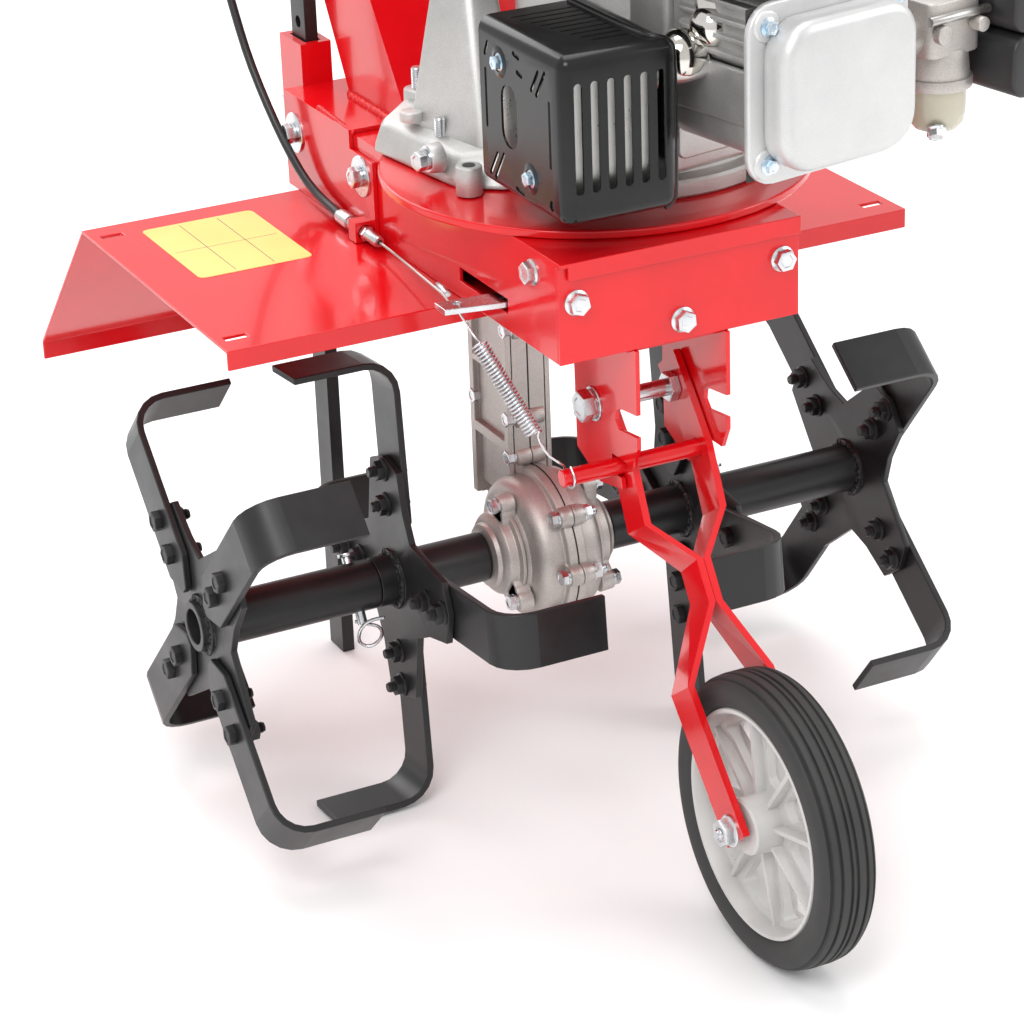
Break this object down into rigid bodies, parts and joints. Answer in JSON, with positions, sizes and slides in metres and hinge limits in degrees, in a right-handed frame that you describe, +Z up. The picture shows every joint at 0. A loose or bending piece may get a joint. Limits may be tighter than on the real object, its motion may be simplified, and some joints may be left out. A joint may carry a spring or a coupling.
{
  "type": "petrol rotary tiller",
  "caption": "Walk-behind petrol tiller: vertical-shaft engine on a folded belt case, worm gearbox, bladed tine rotors, front transport wheel, rear stake and handlebar.",
  "frame": {"origin": "ground level under the middle of the whole machine's box", "axes": "+Z up, front (transport wheel) toward -Y, handlebar toward +Y, +X to the right of a viewer standing in front"},
  "size_m": [0.6065, 1.3936, 1.0033],
  "materials": {
    "red_paint": "gloss powder coat",
    "black_paint": "satin",
    "zinc_steel": "zinc plated",
    "cast_aluminium": "as cast",
    "black_plastic": "satin",
    "grey_plastic": "matte",
    "tyre_rubber": "matte",
    "soft_rubber": "matte",
    "steel": "satin"
  },
  "bodies": {
    "frame": {"air_filter": "black_plastic", "belt_case": "red_paint", "blower_housing": "black_plastic", "cable_sheath": "black_plastic", "carburettor": "cast_aluminium", "crankcase": "cast_aluminium", "cross_pin": "red_paint", "cylinder_head": "cast_aluminium", "depth_stake": "black_paint", "drive_belt": "soft_rubber", "engine_deck": "red_paint", "fender_left": "red_paint", "fender_right": "red_paint", "fork_arm_left": "red_paint", "fork_arm_right": "red_paint", "front_plate": "red_paint", "fuel_tank": "black_plastic", "gearbox_left": "cast_aluminium", "gearbox_right": "cast_aluminium", "grip_left": "soft_rubber", "grip_right": "soft_rubber", "handlebar": "black_paint", "handlebar_column": "red_paint", "muffler": "steel", "muffler_guard": "black_paint", "pivot_bolt": "zinc_steel", "rear_channel": "red_paint", "return_spring": "zinc_steel", "stake_pin": "zinc_steel", "valve_cover": "cast_aluminium", "wheel_axle": "zinc_steel", "wheel_bracket": "red_paint"},
    "tines": {"blade_inner_left_1": "black_paint", "blade_inner_left_2": "black_paint", "blade_inner_left_3": "black_paint", "blade_inner_left_4": "black_paint", "blade_inner_right_1": "black_paint", "blade_inner_right_2": "black_paint", "blade_inner_right_3": "black_paint", "blade_inner_right_4": "black_paint", "blade_outer_left_1": "black_paint", "blade_outer_left_2": "black_paint", "blade_outer_left_3": "black_paint", "blade_outer_left_4": "black_paint", "blade_outer_right_1": "black_paint", "blade_outer_right_2": "black_paint", "blade_outer_right_3": "black_paint", "blade_outer_right_4": "black_paint", "hub_inner_left": "black_paint", "hub_inner_right": "black_paint", "hub_outer_left": "black_paint", "hub_outer_right": "black_paint", "tine_axle": "steel"},
    "wheel": {"tyre": "tyre_rubber", "wheel_rim": "grey_plastic"},
    "input_shaft": {"driven_pulley": "steel"},
    "crankshaft": {"engine_pulley": "steel"},
    "idler": {"idler_arm": "zinc_steel"},
    "clutch_cable_wire": {"clutch_wire": "zinc_steel"},
    "clutch_handle": {"clutch_lever": "zinc_steel"}
  },
  "joints": [
    {"name": "tine_spin", "type": "hinge", "parent": "frame", "child": "tines", "pos_m": [0, -0.2708, 0.16913], "axis": [1, 0, 0], "continuous": true},
    {"name": "input_spin", "type": "hinge", "parent": "frame", "child": "input_shaft", "pos_m": [0, -0.2248, 0.424], "axis": [0, 0, 1], "continuous": true},
    {"name": "crank_spin", "type": "hinge", "parent": "frame", "child": "crankshaft", "pos_m": [0.045, -0.3328, 0.424], "axis": [0, 0, 1], "continuous": true},
    {"name": "wheel_spin", "type": "hinge", "parent": "frame", "child": "wheel", "pos_m": [0, -0.5968, 0.1], "axis": [1, 0, 0], "continuous": true},
    {"name": "idler_swing", "type": "hinge", "parent": "frame", "child": "idler", "pos_m": [-0.03, -0.4108, 0.414], "axis": [0, 0, 1], "range_deg": [-10, 0], "stiffness_Nm_per_rad": 4, "springref_deg": 2.86},
    {"name": "clutch_wire_slide", "type": "slide", "parent": "frame", "child": "clutch_cable_wire", "axis": [0, 1, 0], "range_m": [0, 0.0161]},
    {"name": "clutch_squeeze", "type": "hinge", "parent": "frame", "child": "clutch_handle", "pos_m": [-0.27452, 0.56439, 0.92679], "axis": [0.9965, 0.0811, 0.0223], "range_deg": [0, 6.5]}
  ],
  "couplings": [
    {"joint": "input_spin", "follows": "tine_spin", "ratio": 28},
    {"joint": "clutch_wire_slide", "follows": "idler_swing", "m_per_rad": -0.088},
    {"joint": "clutch_squeeze", "follows": "idler_swing", "ratio": -0.6}
  ]
}
